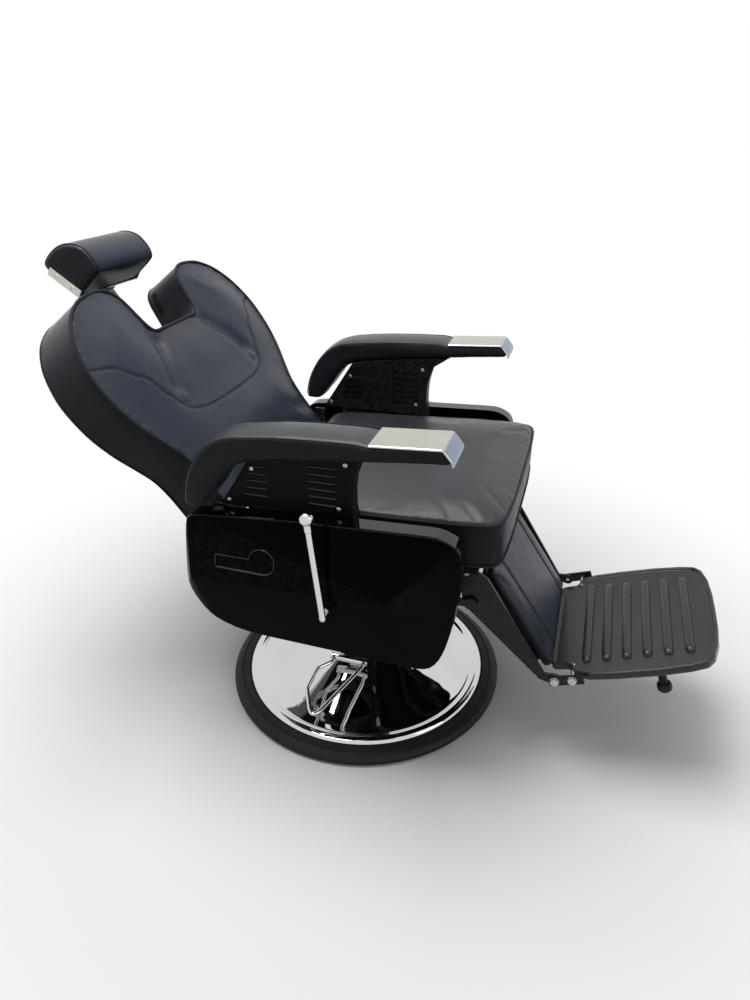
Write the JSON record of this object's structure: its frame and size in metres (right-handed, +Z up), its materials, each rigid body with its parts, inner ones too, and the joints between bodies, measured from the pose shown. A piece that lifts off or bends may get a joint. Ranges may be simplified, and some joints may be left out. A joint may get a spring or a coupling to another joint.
{
  "type": "barber chair",
  "caption": "Reclining barber chair on a round chromed pump base, with padded arms, notched back, headrest, legrest and ribbed footplate.",
  "frame": {"origin": "centre of the base on the floor", "axes": "+Z up, the sitter faces -Y, +X is the sitter's left"},
  "size_m": [0.723, 1.4053, 1.0136],
  "materials": {
    "ballast": "satin",
    "dome_chrome": "polished",
    "base_rubber": "matte",
    "steel_dark": "satin",
    "steel_chrome": "polished",
    "steel_zinc": "satin",
    "plywood": "matte",
    "cap_steel": "satin",
    "louvre_plastic": "matte",
    "cover_plastic": "gloss",
    "foot_metal": "satin",
    "bumper_rubber": "matte",
    "foam": "satin"
  },
  "bodies": {
    "base": {"base_plate": "ballast", "base_dome": "dome_chrome", "base_trim_ring": "base_rubber", "pump_body": "steel_dark", "pump_guide_cap": "steel_chrome", "pump_bolts": "steel_zinc", "pedal_bracket": "steel_dark", "pedal_pin": "steel_chrome"},
    "plunger": {"pump_plunger": "steel_zinc"},
    "pedal": {"pedal_yoke": "steel_chrome", "pedal_loop": "steel_chrome"},
    "lift": {"pump_piston": "steel_chrome", "thrust_bearing": "steel_zinc"},
    "seat": {"swivel_hub": "steel_dark", "mount_plate": "steel_dark", "mount_bolts": "steel_zinc", "seat_frame": "steel_dark", "seat_board": "plywood", "seat_cushion": "foam", "arm_frame_left": "steel_dark", "arm_frame_right": "steel_dark", "arm_pad_left": "foam", "arm_pad_right": "foam", "arm_cap_left": "cap_steel", "arm_cap_right": "cap_steel", "grille_outer_left": "louvre_plastic", "grille_outer_right": "louvre_plastic", "grille_inner_left": "louvre_plastic", "grille_inner_right": "louvre_plastic", "grille_screws": "steel_zinc", "side_cover_left": "cover_plastic", "side_cover_right": "cover_plastic", "cover_brackets": "steel_dark", "lever_escutcheon": "cover_plastic", "back_hinge_pins": "steel_zinc", "leg_hinge_pins": "steel_zinc", "recline_cylinder": "steel_dark"},
    "strut": {"recline_rod": "steel_chrome"},
    "lever": {"recline_lever": "steel_chrome", "lever_ball": "steel_chrome"},
    "back": {"back_frame": "steel_dark", "back_board": "plywood", "back_cushion": "foam", "back_shell": "louvre_plastic", "headrest_guide": "steel_dark"},
    "headrest_post": {"headrest_bar": "steel_zinc", "headrest_pivot_pin": "steel_zinc"},
    "headrest": {"headrest_bracket": "cap_steel", "headrest_pad": "foam", "headrest_screws": "steel_zinc"},
    "link": {"leg_links": "steel_dark"},
    "legrest": {"leg_arm_left": "steel_dark", "leg_arm_right": "steel_dark", "leg_crossbars": "steel_dark", "leg_board": "plywood", "leg_pad": "foam"},
    "foot": {"footplate": "foot_metal", "foot_brackets": "steel_dark", "foot_bolts": "steel_zinc", "foot_bumpers": "bumper_rubber"}
  },
  "joints": [
    {"name": "pump_lift", "type": "slide", "parent": "base", "child": "lift", "axis": [0, 0, 1], "range_m": [0, 0.15]},
    {"name": "chair_swivel", "type": "hinge", "parent": "lift", "child": "seat", "pos_m": [0, 0, 0.4], "axis": [0, 0, 1], "continuous": true},
    {"name": "pedal_pump", "type": "hinge", "parent": "base", "child": "pedal", "pos_m": [-0.088, 0, 0.104], "axis": [0, -1, 0], "range_deg": [0, 14], "stiffness_Nm_per_rad": 5, "springref_deg": -17.19},
    {"name": "plunger_stroke", "type": "slide", "parent": "base", "child": "plunger", "axis": [0, 0, 1], "range_m": [0, 0.0056]},
    {"name": "back_recline", "type": "hinge", "parent": "seat", "child": "back", "pos_m": [0, 0.235, 0.476], "axis": [-1, 0, 0], "range_deg": [-20, 28]},
    {"name": "link_turn", "type": "hinge", "parent": "back", "child": "link", "pos_m": [0, 0.22, 0.408], "axis": [-1, 0, 0], "range_deg": [-28, 20]},
    {"name": "legrest_raise", "type": "hinge", "parent": "seat", "child": "legrest", "pos_m": [0, -0.268, 0.456], "axis": [-1, 0, 0], "range_deg": [-20, 28]},
    {"name": "rod_travel", "type": "slide", "parent": "seat", "child": "strut", "axis": [0, 1, 0], "range_m": [-0.0216, 0.0155]},
    {"name": "lever_pull", "type": "hinge", "parent": "seat", "child": "lever", "pos_m": [0, -0.041, 0.431], "axis": [-1, 0, 0], "range_deg": [0, 25], "stiffness_Nm_per_rad": 2, "springref_deg": -22.92},
    {"name": "headrest_height", "type": "slide", "parent": "back", "child": "headrest_post", "axis": [0, 0.6, 0.8], "range_m": [0, 0.08]},
    {"name": "headrest_tilt", "type": "hinge", "parent": "headrest_post", "child": "headrest", "pos_m": [0, 0.58508, 0.90719], "axis": [-1, 0, 0], "range_deg": [-30, 30]},
    {"name": "footplate_fold", "type": "hinge", "parent": "legrest", "child": "foot", "pos_m": [0, -0.46113, 0.23405], "axis": [-1, 0, 0], "range_deg": [0, 76]}
  ],
  "couplings": [
    {"joint": "plunger_stroke", "follows": "pedal_pump", "m_per_rad": 0.022},
    {"joint": "link_turn", "follows": "back_recline", "ratio": -1},
    {"joint": "legrest_raise", "follows": "back_recline", "ratio": 1},
    {"joint": "rod_travel", "follows": "back_recline", "m_per_rad": -0.044}
  ]
}
